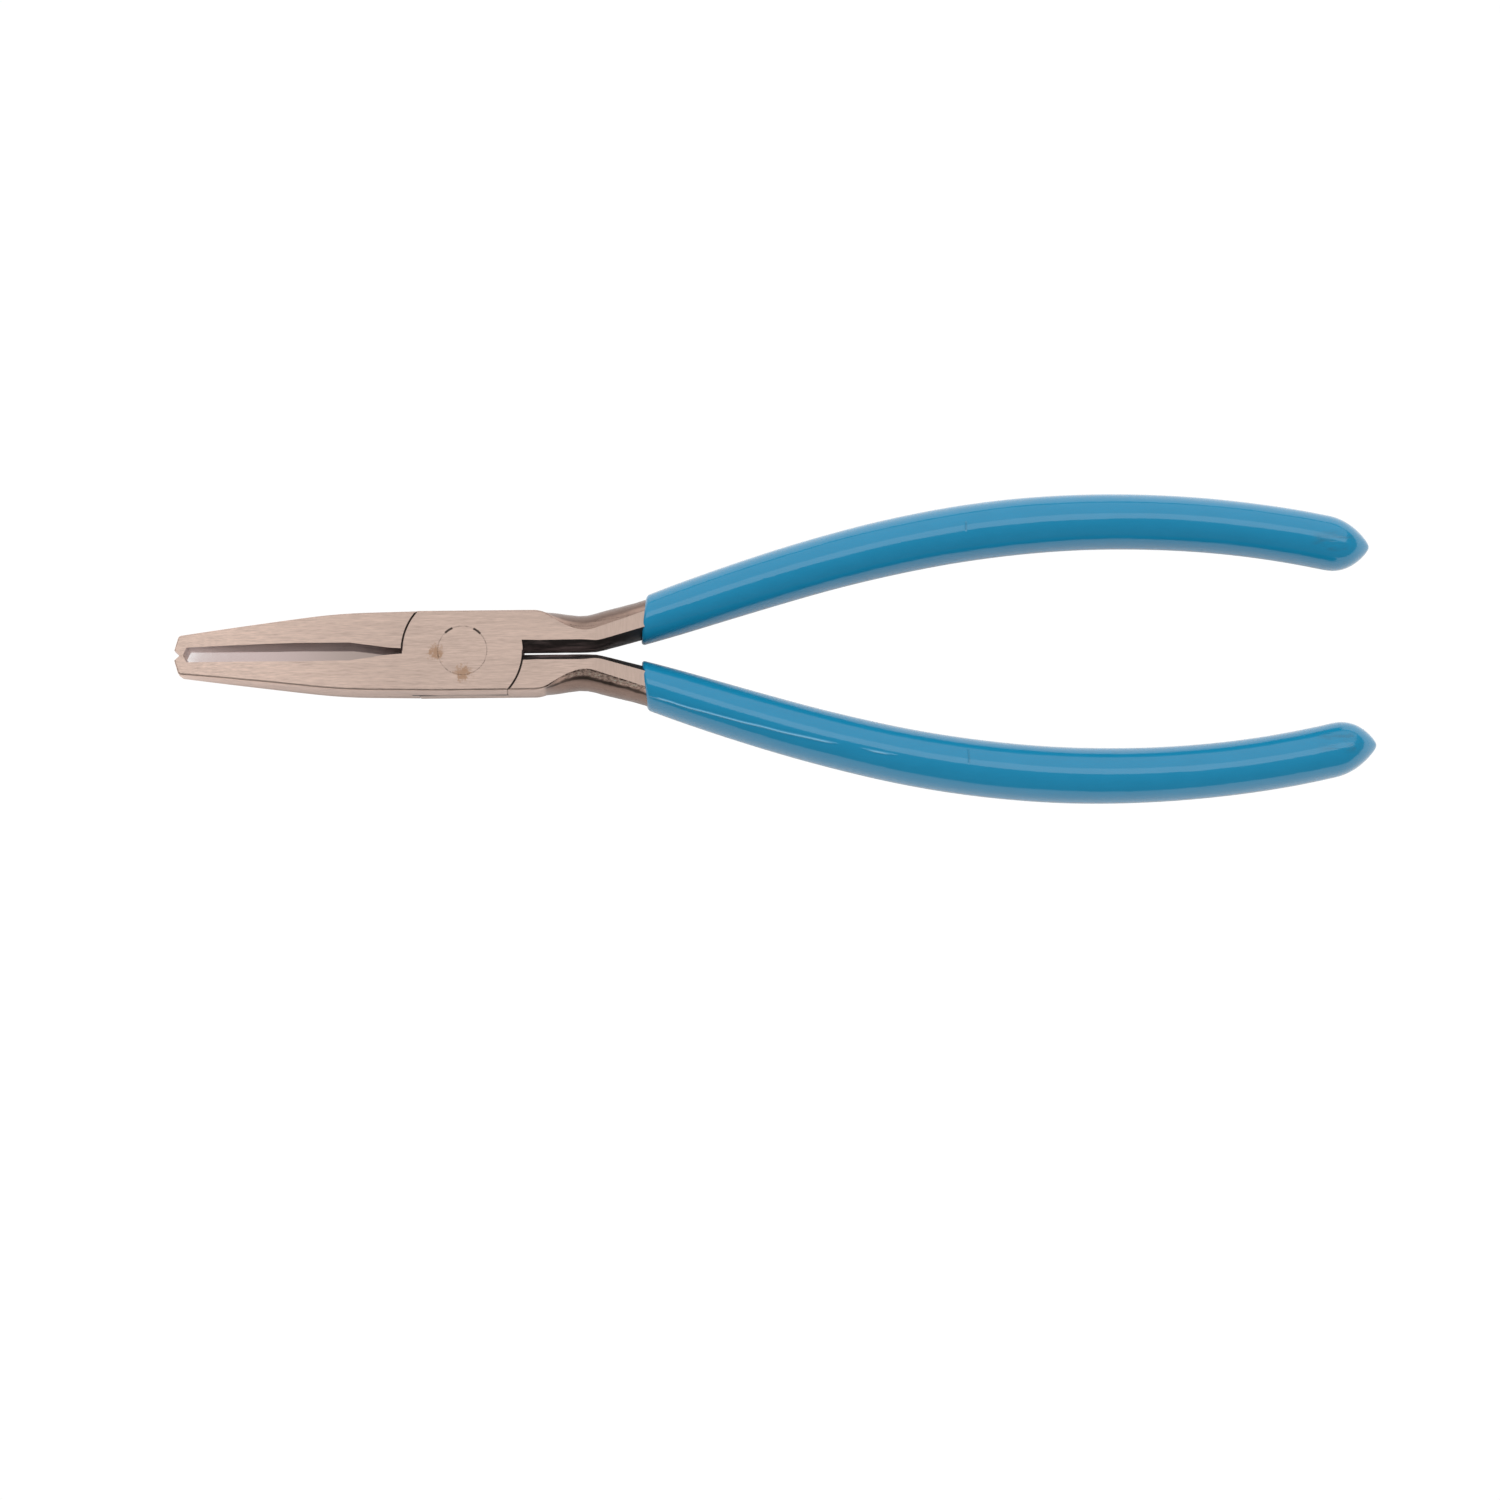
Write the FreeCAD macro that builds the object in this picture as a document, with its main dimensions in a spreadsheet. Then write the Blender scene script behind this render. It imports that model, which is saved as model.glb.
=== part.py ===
import FreeCAD, Part

import os

import Sketcher

# Long-reach pliers, 203 mm overall: two identical forgings cross in a lap joint on one flush
# rivet, and each handle wears a dipped plastic grip.
#
# Frame: the origin is on the rivet's axis, in the plane of the lower ground cheek. +X runs to
# the handles, +Z runs up the rivet. Lengths are millimetres, angles are degrees.
# Both forgings are drawn alike, with the jaw on the -Y side and the handle on the +Y side. The
# second one is then turned half round about the tool's long axis.

DOCUMENT = FreeCAD.newDocument("Pliers")

SIZES = {
    # joint
    "head_thickness": 9.7,
    "flank_half_width": 6.8,
    "forging_draft": 2.0,
    "lap_radius": 10.1,
    "lap_gap": 0.08,
    "parting_gap": 0.04,
    "rivet_radius": 3.0,
    "rivet_head_radius": 4.1,
    "rivet_head_depth": 1.1,
    "rivet_clearance": 0.03,
    # jaws: stations run back from the tip, widths are measured from the closing line
    "tip_x": -48.5,
    "tip_half_width": 0.85,
    "bevel_apex_x": -47.55,
    "tip_corner_x": -47.75,
    "tip_corner_y": 3.38,
    "tip_corner_radius": 0.7,
    "taper_end_x": -20.6,
    "taper_end_y": 6.49,
    "flank_blend_radius": 100.0,
    "flank_straight_x": -4.0,
    "land_gap": 0.01,
    "land_end_x": -46.9,
    "relief_start_x": -46.3,
    "relief_start_y": 1.25,
    "relief_middle_x": -27.4,
    "relief_middle_y": 1.57,
    "relief_heel_x": -18.8,
    "relief_heel_y": 1.5,
    "throat_x": -12.3,
    "throat_y": 0.6,
    "root_y": 0.45,
    "nose_arc_start_x": -20.7,
    "nose_arc_radius": 156.0,
    "edge_round": 0.35,
    # shoulders of the shank, where the outer scallop starts
    "shoulder_x": 13.6,
    "shoulder_round": 5.0,
    "shoulder_bend_x": 15.6,
    "shoulder_bend_y": 5.5,
    "shoulder_foot_x": 16.4,
    "shoulder_foot_y": 3.6,
    "shank_inner_y": 2.3,
    "shank_overlap": 0.1,
    "forged_proud": 0.15,
    "grind_start_x": 5.0,
    # stock left on the blank for later cuts, and how far those cuts reach past the metal
    "jaw_stock": 1.0,
    "blank_reach": 1.4,
    "cut_margin": 1.0,
    # handle centre line: a straight shank, a long arc and a tighter arc over the crown
    "crown_x": 110.2,
    "crown_y": 21.85,
    "crown_radius": 176.0,
    "crown_slope": 12.5,
    "sweep_radius": 260.0,
    "shank_slope": 17.4,
    "tang_start_x": 42.0,
    "tang_end_x": 146.0,
    "tang_face_half_width": 1.3,
    "tang_half_width": 3.3,
    # dipped grips
    "dip_line_x": 30.3,
    "dip_line_tilt": 6.0,
    "dip_lip_round": 0.6,
    "dip_cut_front_x": 20.0,
    "dip_cut_low_y": -5.0,
    "dip_cut_high_y": 20.0,
    "grip_end_x": 149.1,
    "grip_end_half_width": 4.45,
    "grip_end_half_height": 5.6,
    "grip_dome_length": 5.0,
    "grip_dome_sunk": 0.6,
    "drip_length": 1.7,
    "drip_sunk": 0.6,
    "drip_lean": 11.0,
    "drip_radius": 1.3,
    "drip_tip_radius": 0.35,
}

# Cross-sections of the shank: distance from the rivet's axis, then the inner face at mid height
# and at the cheek, then the outer face at the cheek and at mid height.
SHANK_STATIONS = (
    (9.5, 0.22, 1.75, 6.10, 6.60),
    (12.0, 0.22, 1.75, 6.22, 6.80),
    (13.8, 0.22, 1.75, 6.10, 6.94),
    (15.8, 0.22, 1.76, 4.85, 6.84),
    (18.1, 0.22, 1.77, 3.60, 6.50),
    (20.9, 0.24, 1.74, 2.96, 6.42),
    (22.4, 0.34, 1.62, 3.28, 6.78),
    (23.9, 0.66, 1.90, 3.85, 7.20),
    (26.5, 1.34, 2.66, 4.72, 7.85),
    (30.0, 2.26, 3.68, 6.00, 8.80),
    (33.5, 3.30, 4.72, 7.10, 9.90),
)

# Ovals of the grip: distance from the rivet's axis, half width and half height.
GRIP_STATIONS = (
    (27.0, 4.20, 5.55),
    (40.0, 4.48, 5.75),
    (53.0, 4.73, 5.95),
    (67.0, 4.80, 6.02),
    (81.0, 4.82, 6.05),
    (95.0, 4.77, 6.02),
    (110.0, 4.70, 5.95),
    (125.0, 4.60, 5.88),
    (139.0, 4.66, 5.85),
)

SHANK_COLUMNS = ("x", "inner_mid", "inner_face", "outer_face", "outer_mid")
GRIP_COLUMNS = ("x", "half_width", "half_height")
TANG_SECTIONS = 8

# How edges are picked for rounding, in millimetres.
JAW_SIDE_Y = -2.5
HANDLE_SIDE_Y = 6.0
LAP_SIDE_X = 9.0
LIP_EDGES_X = 33.0
CORNER_REACH = 0.2
TALLEST_CORNER = 6.0
SHORTEST_LONG_EDGE = 2.0
CHEEK_EDGE_LIFT = 2.0

# The least volume in cubic millimetres that a cut has to take away.
LEAST_CUT = 0.01


def cell(name):
    """Expression for a size in the spreadsheet."""
    return f"Sizes.{name}"


def make_sheet():
    """Put every driving size in the spreadsheet, one alias to a cell."""
    sheet = DOCUMENT.addObject("Spreadsheet::Sheet", "Sizes")
    sizes = dict(SIZES)
    for number, station in enumerate(SHANK_STATIONS):
        for column, value in zip(SHANK_COLUMNS, station):
            sizes[f"shank{number}_{column}"] = value
    for number, station in enumerate(GRIP_STATIONS):
        for column, value in zip(GRIP_COLUMNS, station):
            sizes[f"grip{number}_{column}"] = value
    for row, (name, value) in enumerate(sizes.items(), start=1):
        sheet.set(f"A{row}", name)
        sheet.set(f"B{row}", str(value))
        sheet.setAlias(f"B{row}", name)
    DOCUMENT.recompute()
    return sheet


SHEET = make_sheet()

THICKNESS = cell("head_thickness")
MID_HEIGHT = f"({THICKNESS} / 2)"
CROWNING = f"({MID_HEIGHT} * tan({cell('forging_draft')}))"
FLANK = f"({cell('flank_half_width')} + {CROWNING})"
FORGED_HALF_HEIGHT = f"({MID_HEIGHT} + {cell('forged_proud')})"
BLANK_END = f"({cell('lap_radius')} + {cell('blank_reach')})"
BEYOND_LAP = f"({cell('lap_radius')} + {cell('cut_margin')})"
BEYOND_TIP = f"({cell('tip_x')} - {cell('cut_margin')})"
RIGHT_THROUGH = f"({THICKNESS} + {cell('cut_margin')})"
RIGHT_ACROSS = f"(8 * {cell('flank_half_width')})"

# Points of the handle's centre line, from the crown back to the straight shank.
SWEEP_END_X = f"({cell('crown_x')} - {cell('crown_radius')} * sin({cell('crown_slope')}))"
SWEEP_END_Y = f"({cell('crown_y')} - {cell('crown_radius')} * (1 - cos({cell('crown_slope')})))"
SWEEP_CENTRE_X = f"({SWEEP_END_X} + {cell('sweep_radius')} * sin({cell('crown_slope')}))"
SWEEP_CENTRE_Y = f"({SWEEP_END_Y} - {cell('sweep_radius')} * cos({cell('crown_slope')}))"
SWEEP_START_X = f"({SWEEP_CENTRE_X} - {cell('sweep_radius')} * sin({cell('shank_slope')}))"
SWEEP_START_Y = f"({SWEEP_CENTRE_Y} + {cell('sweep_radius')} * cos({cell('shank_slope')}))"


def value_of(text):
    """The number that an expression gives now."""
    found = SHEET.evalExpression(text)
    return float(getattr(found, "Value", found))


def spine_y(across):
    """Expression for the height of the handle's centre line at a distance from the rivet."""
    crown = (
        f"{cell('crown_y')} - {cell('crown_radius')}"
        f" + sqrt({cell('crown_radius')}^2 - ({across} - {cell('crown_x')})^2)"
    )
    sweep = f"{SWEEP_CENTRE_Y} + sqrt({cell('sweep_radius')}^2 - ({across} - {SWEEP_CENTRE_X})^2)"
    straight = f"{SWEEP_START_Y} - ({SWEEP_START_X} - {across}) * tan({cell('shank_slope')})"
    if value_of(across) > value_of(SWEEP_END_X):
        return f"({crown})"
    if value_of(across) > value_of(SWEEP_START_X):
        return f"({sweep})"
    return f"({straight})"


def sketch_on(body, name, role, lift=None):
    """A sketch on one of the body's own origin planes, moved along its normal by lift."""
    sketch = body.newObject("Sketcher::SketchObject", name)
    plane = next(feature for feature in body.Origin.OriginFeatures if feature.Role == role)
    sketch.AttachmentSupport = (plane, "")
    sketch.MapMode = "FlatFace"
    if lift:
        sketch.setExpression(".AttachmentOffset.Base.z", lift)
    return sketch


def bind(sketch, constraint, text):
    """Add a constraint whose size follows an expression."""
    index = sketch.addConstraint(constraint)
    sketch.setExpression(f"Constraints[{index}]", text)


def pin(sketch, geometry, end, point):
    """Tie one end of a line or arc to a point given by two expressions."""
    for kind, text in zip(("DistanceX", "DistanceY"), point):
        bind(sketch, Sketcher.Constraint(kind, -1, 1, geometry, end, value_of(text)), text)


def arc_between(start, stop, radius, bend):
    """Arc from start to stop. bend is 1 for a left turn and -1 for a right turn."""
    chord = stop - start
    half = chord.Length / 2
    side = FreeCAD.Vector(-chord.y, chord.x, 0).normalize() * bend
    centre = (start + stop) / 2 + side * (radius**2 - half**2) ** 0.5
    circle = Part.Circle(centre, FreeCAD.Vector(0, 0, 1), radius)
    ends = (circle.parameter(start), circle.parameter(stop))
    return Part.ArcOfCircle(circle, *(ends if bend > 0 else reversed(ends)))


def outline(sketch, corners, closed=True):
    """Draw lines and arcs through corners. A corner is (x, y) or (x, y, radius, bend), where
    radius and bend belong to the arc that leaves it."""
    points = [FreeCAD.Vector(value_of(c[0]), value_of(c[1]), 0) for c in corners]
    count = len(corners) if closed else len(corners) - 1
    last = None
    first = None
    for number in range(count):
        corner = corners[number]
        start = points[number]
        stop = points[(number + 1) % len(points)]
        if len(corner) == 2:
            edge = sketch.addGeometry(Part.LineSegment(start, stop), False)
            ends = (1, 2)
        else:
            radius, bend = corner[2:]
            edge = sketch.addGeometry(arc_between(start, stop, value_of(radius), bend), False)
            bind(sketch, Sketcher.Constraint("Radius", edge, value_of(radius)), radius)
            ends = (1, 2) if bend > 0 else (2, 1)
        pin(sketch, edge, ends[0], corner[:2])
        if last:
            sketch.addConstraint(Sketcher.Constraint("Coincident", *last, edge, ends[0]))
        last = (edge, ends[1])
        first = first or (edge, ends[0])
    if closed:
        sketch.addConstraint(Sketcher.Constraint("Coincident", *last, *first))
    else:
        pin(sketch, *last, corners[-1][:2])


def checked_cut(body, feature):
    """Recompute a cutting feature and make sure that it took material away."""
    before = feature.BaseFeature.Shape.Volume
    DOCUMENT.recompute()
    if feature.Shape.Volume > before - LEAST_CUT:
        raise RuntimeError(f"{feature.Name} cuts nothing from {body.Name}")


def pocket(body, sketch, length, reverse=False, both=False):
    """Cut a sketch's area out of the body, over a length along its normal or both ways."""
    feature = body.newObject("PartDesign::Pocket", f"{sketch.Name}_cut")
    feature.Profile = sketch
    feature.SideType = "Symmetric" if both else "One side"
    feature.Reversed = reverse
    feature.setExpression("Length", length)
    checked_cut(body, feature)


def edges_where(feature, wanted):
    """Names of the edges whose middle point passes the test."""
    names = []
    for number, edge in enumerate(feature.Shape.Edges, start=1):
        middle = edge.valueAt((edge.FirstParameter + edge.LastParameter) / 2)
        if wanted(edge, middle):
            names.append(f"Edge{number}")
    return names


def forged_blank(body):
    """Jaw, lap plate and shank root in one drafted slab, widest at mid height."""
    sketch = sketch_on(body, f"{body.Name}_blank", "XY_Plane", MID_HEIGHT)
    outline(
        sketch,
        [
            (cell("bevel_apex_x"), cell("jaw_stock")),
            (cell("bevel_apex_x"), "0.0"),
            (cell("tip_x"), f"(-{cell('tip_half_width')})"),
            (cell("tip_corner_x"), f"(-{cell('tip_corner_y')})"),
            (cell("taper_end_x"), f"(-{cell('taper_end_y')} - {CROWNING})"),
            (cell("flank_straight_x"), f"(-{FLANK})"),
            (BLANK_END, f"(-{FLANK})"),
            (BLANK_END, cell("shank_inner_y")),
            (cell("shoulder_foot_x"), cell("shank_inner_y")),
            (cell("shoulder_foot_x"), cell("shoulder_foot_y")),
            (cell("shoulder_bend_x"), cell("shoulder_bend_y")),
            (cell("shoulder_x"), FLANK),
            (f"(-{BLANK_END})", FLANK),
            (f"(-{BLANK_END})", cell("jaw_stock")),
        ],
    )
    pad = body.newObject("PartDesign::Pad", f"{body.Name}_slab")
    pad.Profile = sketch
    pad.SideType = "Two sides"
    for length, taper in (("Length", "TaperAngle"), ("Length2", "TaperAngle2")):
        pad.setExpression(length, MID_HEIGHT)
        pad.setExpression(taper, f"-{cell('forging_draft')}")
    DOCUMENT.recompute()


def cut_lap_edges(body):
    """Trim the lap plate to its circle, and the jaw's inner side to the relief and the land."""
    radius = cell("lap_radius")
    shank_y = f"({cell('shank_inner_y')} - {cell('shank_overlap')})"
    relief = sketch_on(body, f"{body.Name}_jaw_side", "XY_Plane")
    outline(
        relief,
        [
            ("0.0", radius, radius, 1),
            (f"(-sqrt({radius}^2 - {cell('root_y')}^2))", f"(-{cell('root_y')})"),
            (cell("throat_x"), f"(-{cell('throat_y')})"),
            (cell("relief_heel_x"), f"(-{cell('relief_heel_y')})"),
            (cell("relief_middle_x"), f"(-{cell('relief_middle_y')})"),
            (cell("relief_start_x"), f"(-{cell('relief_start_y')})"),
            (cell("land_end_x"), f"(-{cell('land_gap')})"),
            (BEYOND_TIP, f"(-{cell('land_gap')})"),
            (BEYOND_TIP, BEYOND_LAP),
            ("0.0", BEYOND_LAP),
        ],
    )
    pocket(body, relief, RIGHT_THROUGH, reverse=True)
    notch = sketch_on(body, f"{body.Name}_shank_side", "XY_Plane")
    outline(
        notch,
        [
            ("0.0", f"(-{radius})", radius, 1),
            (f"sqrt({radius}^2 - {shank_y}^2)", shank_y),
            (f"(2 * {radius})", shank_y),
            (f"(2 * {radius})", f"(-{BEYOND_LAP})"),
            ("0.0", f"(-{BEYOND_LAP})"),
        ],
    )
    pocket(body, notch, RIGHT_THROUGH, reverse=True)


def thin_nose(body):
    """Thin the nose towards its tip with an arc on each cheek, tangent to the flat."""
    start = cell("nose_arc_start_x")
    radius = cell("nose_arc_radius")
    fall = f"({radius} - sqrt({radius}^2 - ({BEYOND_TIP} - {start})^2))"
    for name, face, way, bend in (("top", THICKNESS, "+", 1), ("bottom", "0.0", "-", -1)):
        inward = "-" if way == "+" else "+"
        sketch = sketch_on(body, f"{body.Name}_nose_{name}", "XZ_Plane")
        outline(
            sketch,
            [
                (start, face, radius, bend),
                (BEYOND_TIP, f"({face} {inward} {fall})"),
                (BEYOND_TIP, f"({face} {way} {cell('cut_margin')})"),
                (start, f"({face} {way} {cell('cut_margin')})"),
            ],
        )
        pocket(body, sketch, RIGHT_ACROSS, both=True)


def bar_section(body, name, across, faces, mids):
    """Cross-section of the handle bar: two short flats joined by bulging arcs. faces and mids
    hold the inner and the outer side's y, at the cheek and at mid height."""
    half = FORGED_HALF_HEIGHT
    top = f"({MID_HEIGHT} + {half})"
    bottom = f"({MID_HEIGHT} - {half})"
    reaches = [f"abs({mid} - {face})" for mid, face in zip(mids, faces)]
    radii = [f"(({half}^2 + {reach}^2) / (2 * {reach}))" for reach in reaches]
    sketch = sketch_on(body, f"{body.Name}_{name}", "YZ_Plane", across)
    outline(
        sketch,
        [
            (faces[0], bottom),
            (faces[1], bottom, radii[1], 1),
            (faces[1], top),
            (faces[0], top, radii[0], 1),
        ],
    )
    return sketch


def forge_handle(body):
    """Loft the shank with its outer scallop, and the tang that runs on under the grip."""
    tang_length = f"({cell('tang_end_x')} - {cell('tang_start_x')})"
    sections = []
    for number in range(len(SHANK_STATIONS)):
        sizes = [cell(f"shank{number}_{column}") for column in SHANK_COLUMNS]
        across, inner_mid, inner_face, outer_face, outer_mid = sizes
        faces = (inner_face, outer_face)
        sections.append(bar_section(body, f"shank{number}", across, faces, (inner_mid, outer_mid)))
    for number in range(TANG_SECTIONS):
        share = number / (TANG_SECTIONS - 1)
        across = f"({cell('tang_start_x')} + {share} * {tang_length})"
        centre = spine_y(across)
        faces = [f"({centre} {way} {cell('tang_face_half_width')})" for way in "-+"]
        mids = [f"({centre} {way} {cell('tang_half_width')})" for way in "-+"]
        sections.append(bar_section(body, f"tang{number}", across, faces, mids))
    loft = body.newObject("PartDesign::AdditiveLoft", f"{body.Name}_handle")
    loft.Profile = sections[0]
    loft.Sections = sections[1:]
    DOCUMENT.recompute()


def grind_cheeks(body):
    """Grind both cheeks flat, along the shank and the tang."""
    for name, face, way in (("top", THICKNESS, "+"), ("bottom", "0.0", "-")):
        sketch = sketch_on(body, f"{body.Name}_grind_{name}", "XZ_Plane")
        outline(
            sketch,
            [
                (cell("grind_start_x"), face),
                (cell("grip_end_x"), face),
                (cell("grip_end_x"), f"({face} {way} {cell('cut_margin')})"),
                (cell("grind_start_x"), f"({face} {way} {cell('cut_margin')})"),
            ],
        )
        pocket(body, sketch, RIGHT_ACROSS, both=True)


def cut_lap_recess(body):
    """Halve the forging inside the lap circle, to leave room for its partner's plate."""
    sketch = sketch_on(body, f"{body.Name}_recess", "XY_Plane")
    radius = f"({cell('lap_radius')} + {cell('lap_gap')})"
    circle = Part.Circle(FreeCAD.Vector(), FreeCAD.Vector(0, 0, 1), value_of(radius))
    rim = sketch.addGeometry(circle, False)
    sketch.addConstraint(Sketcher.Constraint("Coincident", rim, 3, -1, 1))
    bind(sketch, Sketcher.Constraint("Radius", rim, value_of(radius)), radius)
    pocket(body, sketch, f"({MID_HEIGHT} + {cell('parting_gap')} / 2)", reverse=True)


def rivet_outline(sketch, clearance):
    """Half profile of the upper part of the rivet: shank and countersunk head."""
    shank = f"({cell('rivet_radius')} + {clearance})"
    head = f"({cell('rivet_head_radius')} + {clearance})"
    outline(
        sketch,
        [
            ("0.0", MID_HEIGHT),
            (shank, MID_HEIGHT),
            (shank, f"({THICKNESS} - {cell('rivet_head_depth')})"),
            (head, THICKNESS),
            ("0.0", THICKNESS),
        ],
    )


def bore_for_rivet(body):
    """Bore and countersink the lap plate for the rivet."""
    sketch = sketch_on(body, f"{body.Name}_bore", "XZ_Plane")
    rivet_outline(sketch, cell("rivet_clearance"))
    groove = body.newObject("PartDesign::Groove", f"{body.Name}_rivet_hole")
    groove.Profile = sketch
    groove.ReferenceAxis = (sketch, ["V_Axis"])
    groove.Angle = 360.0
    checked_cut(body, groove)


def corner_test(across):
    """Test for the upright edges on the outer sides at a distance from the rivet."""

    def upright(edge, middle):
        on_outer_side = middle.y < JAW_SIDE_Y or middle.y > HANDLE_SIDE_Y
        return on_outer_side and abs(middle.x - across) < CORNER_REACH and edge.Length < TALLEST_CORNER

    return upright


def blend_corners(body):
    """Round the nose's front corner and the shoulder, and blend the taper into the flank."""
    for name, across, radius in (
        ("tip", "tip_corner_x", "tip_corner_radius"),
        ("taper", "taper_end_x", "flank_blend_radius"),
        ("shoulder", "shoulder_x", "shoulder_round"),
    ):
        round_off(body, f"{body.Name}_{name}_blend", corner_test(SIZES[across]), radius)


def round_edges(body):
    """Break the long outer edges of the nose and of the flanks, on both cheeks."""
    middle_height = SIZES["head_thickness"] / 2

    def along(edge, middle):
        ends = [vertex.Point.x for vertex in edge.Vertexes]
        lengthways = max(ends) - min(ends) > SHORTEST_LONG_EDGE
        on_cheek = abs(middle.z - middle_height) > CHEEK_EDGE_LIFT
        lower_side = middle.y < JAW_SIDE_Y and middle.x < LAP_SIDE_X
        upper_side = middle.y > HANDLE_SIDE_Y
        return lengthways and on_cheek and (lower_side or upper_side)

    round_off(body, f"{body.Name}_edge_round", along, "edge_round")


def round_off(body, name, wanted, radius):
    """Fillet the edges that pass a test."""
    fillet = body.newObject("PartDesign::Fillet", name)
    fillet.Base = (fillet.BaseFeature, edges_where(fillet.BaseFeature, wanted))
    fillet.setExpression("Radius", cell(radius))
    DOCUMENT.recompute()


def jaw_lever(label):
    """One forging: its jaw on the -Y side, the upper lap plate, and the handle on the +Y side."""
    body = DOCUMENT.addObject("PartDesign::Body", label)
    body.Label = label
    forged_blank(body)
    blend_corners(body)
    cut_lap_edges(body)
    thin_nose(body)
    round_edges(body)
    forge_handle(body)
    grind_cheeks(body)
    cut_lap_recess(body)
    bore_for_rivet(body)
    return body


def pivot_rivet(label):
    """The rivet: a straight shank with a countersunk head flush in each cheek."""
    body = DOCUMENT.addObject("PartDesign::Body", label)
    body.Label = label
    profile = sketch_on(body, f"{body.Name}_profile", "XZ_Plane")
    shank = cell("rivet_radius")
    head = cell("rivet_head_radius")
    depth = cell("rivet_head_depth")
    outline(
        profile,
        [
            ("0.0", "0.0"),
            (head, "0.0"),
            (shank, depth),
            (shank, f"({THICKNESS} - {depth})"),
            (head, THICKNESS),
            ("0.0", THICKNESS),
        ],
    )
    turned = body.newObject("PartDesign::Revolution", f"{body.Name}_turned")
    turned.Profile = profile
    turned.ReferenceAxis = (profile, ["V_Axis"])
    turned.Angle = 360.0
    DOCUMENT.recompute()
    return body


def oval_section(body, name, across, half_width, half_height):
    """Upright oval round the handle's centre line."""
    sketch = sketch_on(body, f"{body.Name}_{name}", "YZ_Plane", across)
    centre = (spine_y(across), MID_HEIGHT)
    middle = FreeCAD.Vector(value_of(centre[0]), value_of(centre[1]), 0)
    top = middle + FreeCAD.Vector(0, value_of(half_height), 0)
    side = middle + FreeCAD.Vector(value_of(half_width), 0, 0)
    oval = sketch.addGeometry(Part.Ellipse(top, side, middle), False)
    sketch.exposeInternalGeometry(oval)
    tall, wide = oval + 1, oval + 2
    pin(sketch, oval, 3, centre)
    sketch.addConstraint(Sketcher.Constraint("Vertical", tall))
    for line, half in ((tall, half_height), (wide, half_width)):
        length = f"(2 * {half})"
        bind(sketch, Sketcher.Constraint("Distance", line, value_of(length)), length)
    return sketch


def dip_form(name):
    """Outer form of one dipped grip: an oval loft, a domed end and the drip left at its tip."""
    body = DOCUMENT.addObject("PartDesign::Body", name)
    end_x = cell("grip_end_x")
    ovals = []
    for number in range(len(GRIP_STATIONS)):
        sizes = [cell(f"grip{number}_{column}") for column in GRIP_COLUMNS]
        ovals.append(oval_section(body, f"oval{number}", *sizes))
    end_width = cell("grip_end_half_width")
    end_height = cell("grip_end_half_height")
    ovals.append(oval_section(body, "end_oval", end_x, end_width, end_height))
    loft = body.newObject("PartDesign::AdditiveLoft", f"{body.Name}_loft")
    loft.Profile = ovals[0]
    loft.Sections = ovals[1:]
    DOCUMENT.recompute()
    trim_dip_line(body)
    dome = body.newObject("PartDesign::AdditiveEllipsoid", f"{body.Name}_dome")
    for size, text in (
        ("Radius1", end_height),
        ("Radius2", cell("grip_dome_length")),
        ("Radius3", end_width),
        (".Placement.Base.x", f"({end_x} - {cell('grip_dome_sunk')})"),
        (".Placement.Base.y", spine_y(end_x)),
        (".Placement.Base.z", MID_HEIGHT),
    ):
        dome.setExpression(size, text)
    DOCUMENT.recompute()
    add_drip(body)
    return body


def add_drip(body):
    """The blunt point where the last of the dip ran off."""
    end_x = cell("grip_end_x")
    drip = body.newObject("PartDesign::AdditiveCone", f"{body.Name}_drip")
    lean = FreeCAD.Rotation(FreeCAD.Vector(0, 0, 1), -SIZES["drip_lean"])
    along = FreeCAD.Rotation(FreeCAD.Vector(0, 1, 0), 90)
    drip.Placement = FreeCAD.Placement(FreeCAD.Vector(), lean * along)
    start = f"({cell('grip_dome_length')} - {cell('grip_dome_sunk')} - {cell('drip_sunk')})"
    for size, text in (
        ("Radius1", cell("drip_radius")),
        ("Radius2", cell("drip_tip_radius")),
        ("Height", cell("drip_length")),
        (".Placement.Base.x", f"({end_x} + {start} * cos({cell('drip_lean')}))"),
        (".Placement.Base.y", f"({spine_y(end_x)} - {start} * sin({cell('drip_lean')}))"),
        (".Placement.Base.z", MID_HEIGHT),
    ):
        drip.setExpression(size, text)
    DOCUMENT.recompute()


def trim_dip_line(body):
    """Cut the form's front end on the leaning dip line, and round its lip."""
    low = cell("dip_cut_low_y")
    high = cell("dip_cut_high_y")
    front = cell("dip_cut_front_x")
    centre = spine_y(cell("dip_line_x"))

    def line_at(up):
        return f"({cell('dip_line_x')} + ({up} - {centre}) * tan({cell('dip_line_tilt')}))"

    sketch = sketch_on(body, f"{body.Name}_dip_line", "XY_Plane", MID_HEIGHT)
    outline(sketch, [(front, low), (line_at(low), low), (line_at(high), high), (front, high)])
    pocket(body, sketch, f"(4 * {THICKNESS})", both=True)
    round_off(body, f"{body.Name}_lip", lambda edge, middle: middle.x < LIP_EDGES_X, "dip_lip_round")


def handle_grip(label, form, lever):
    """A grip: the dip's outer form with the steel that it covers taken out."""
    grip = DOCUMENT.addObject("Part::Cut", label)
    grip.Label = label
    grip.Base = form
    grip.Tool = lever
    DOCUMENT.recompute()
    return grip


def turn_over(piece):
    """Turn a piece half round about the tool's long axis at mid height."""
    piece.Placement = FreeCAD.Placement(
        FreeCAD.Vector(0, 0, SIZES["head_thickness"]),
        FreeCAD.Rotation(FreeCAD.Vector(1, 0, 0), 180),
    )
    piece.setExpression(".Placement.Base.z", THICKNESS)
    DOCUMENT.recompute()


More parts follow.
